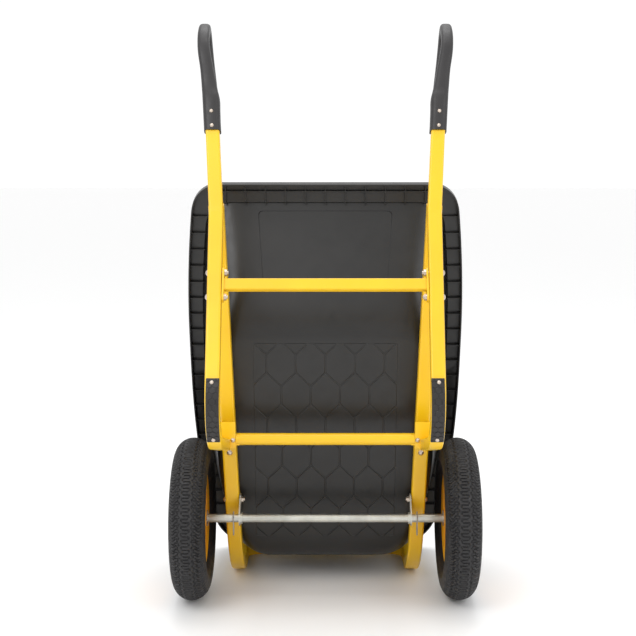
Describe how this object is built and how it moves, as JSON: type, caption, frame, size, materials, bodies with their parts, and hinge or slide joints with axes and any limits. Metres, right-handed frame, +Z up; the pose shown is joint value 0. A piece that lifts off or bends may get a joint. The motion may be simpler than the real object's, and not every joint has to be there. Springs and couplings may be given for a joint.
{
  "type": "garden cart",
  "caption": "Garden cart with a moulded tray, tube frame with legs and loop grips, stood upright on its wheels and nose.",
  "frame": {"origin": "on the floor, under the middle of the cart's box, with the cart stood up on its wheels and nose", "axes": "+X across the cart along the axle, +Y from the underside of the frame towards the tray's opening, +Z up, towards the grips"},
  "size_m": [0.6702, 0.7074, 1.2714],
  "materials": {
    "frame_paint": "gloss powder coat",
    "wheel_paint": "gloss powder coat",
    "tray": "semi-gloss moulded poly",
    "tyre": "moulded tread",
    "tube_rubber": "smooth",
    "grip": "fine texture",
    "pad": "moulded honeycomb",
    "zinc": "zinc plated",
    "wire": "spring wire",
    "fasteners": "zinc plated",
    "screws": "zinc plated",
    "bush": "moulded",
    "valve": "turned",
    "cap": "moulded"
  },
  "bodies": {
    "frame": {"axle": "zinc", "axle_bracket_bolts": "fasteners", "axle_bracket_nuts": "fasteners", "cotter_pins": "fasteners", "crossbar_bolts": "fasteners", "crossbar_end_plates": "frame_paint", "crossbar_nuts": "fasteners", "foot_pad_screws": "screws", "grip_screws": "screws", "inner_washers": "fasteners", "left_axle_bracket": "zinc", "left_foot_pad": "pad", "left_grip": "grip", "left_hairpin_clip": "wire", "left_handle_tube": "frame_paint", "left_leg_bracket": "frame_paint", "left_rail": "frame_paint", "lower_crossbar": "frame_paint", "lower_crossbar_bolts": "fasteners", "nose_crossbar": "frame_paint", "outer_washers": "fasteners", "right_axle_bracket": "zinc", "right_foot_pad": "pad", "right_grip": "grip", "right_hairpin_clip": "wire", "right_handle_tube": "frame_paint", "right_leg_bracket": "frame_paint", "right_rail": "frame_paint", "tray": "tray", "tray_bolts": "fasteners", "tray_nuts": "fasteners", "tray_washers": "fasteners", "upper_crossbar": "frame_paint"},
    "left_wheel": {"left_bearings": "bush", "left_hub": "wheel_paint", "left_inner_tube": "tube_rubber", "left_rim_bolts": "fasteners", "left_rim_inner": "wheel_paint", "left_rim_outer": "wheel_paint", "left_tyre": "tyre", "left_valve_cap": "cap", "left_valve_stem": "valve"},
    "right_wheel": {"right_bearings": "bush", "right_hub": "wheel_paint", "right_inner_tube": "tube_rubber", "right_rim_bolts": "fasteners", "right_rim_inner": "wheel_paint", "right_rim_outer": "wheel_paint", "right_tyre": "tyre", "right_valve_cap": "cap", "right_valve_stem": "valve"}
  },
  "joints": [
    {"name": "left_wheel_spin", "type": "hinge", "parent": "frame", "child": "left_wheel", "pos_m": [-0.295, -0.01315, 0.18], "axis": [1, 0, 0], "continuous": true},
    {"name": "right_wheel_spin", "type": "hinge", "parent": "frame", "child": "right_wheel", "pos_m": [0.295, -0.01315, 0.18], "axis": [1, 0, 0], "continuous": true}
  ]
}
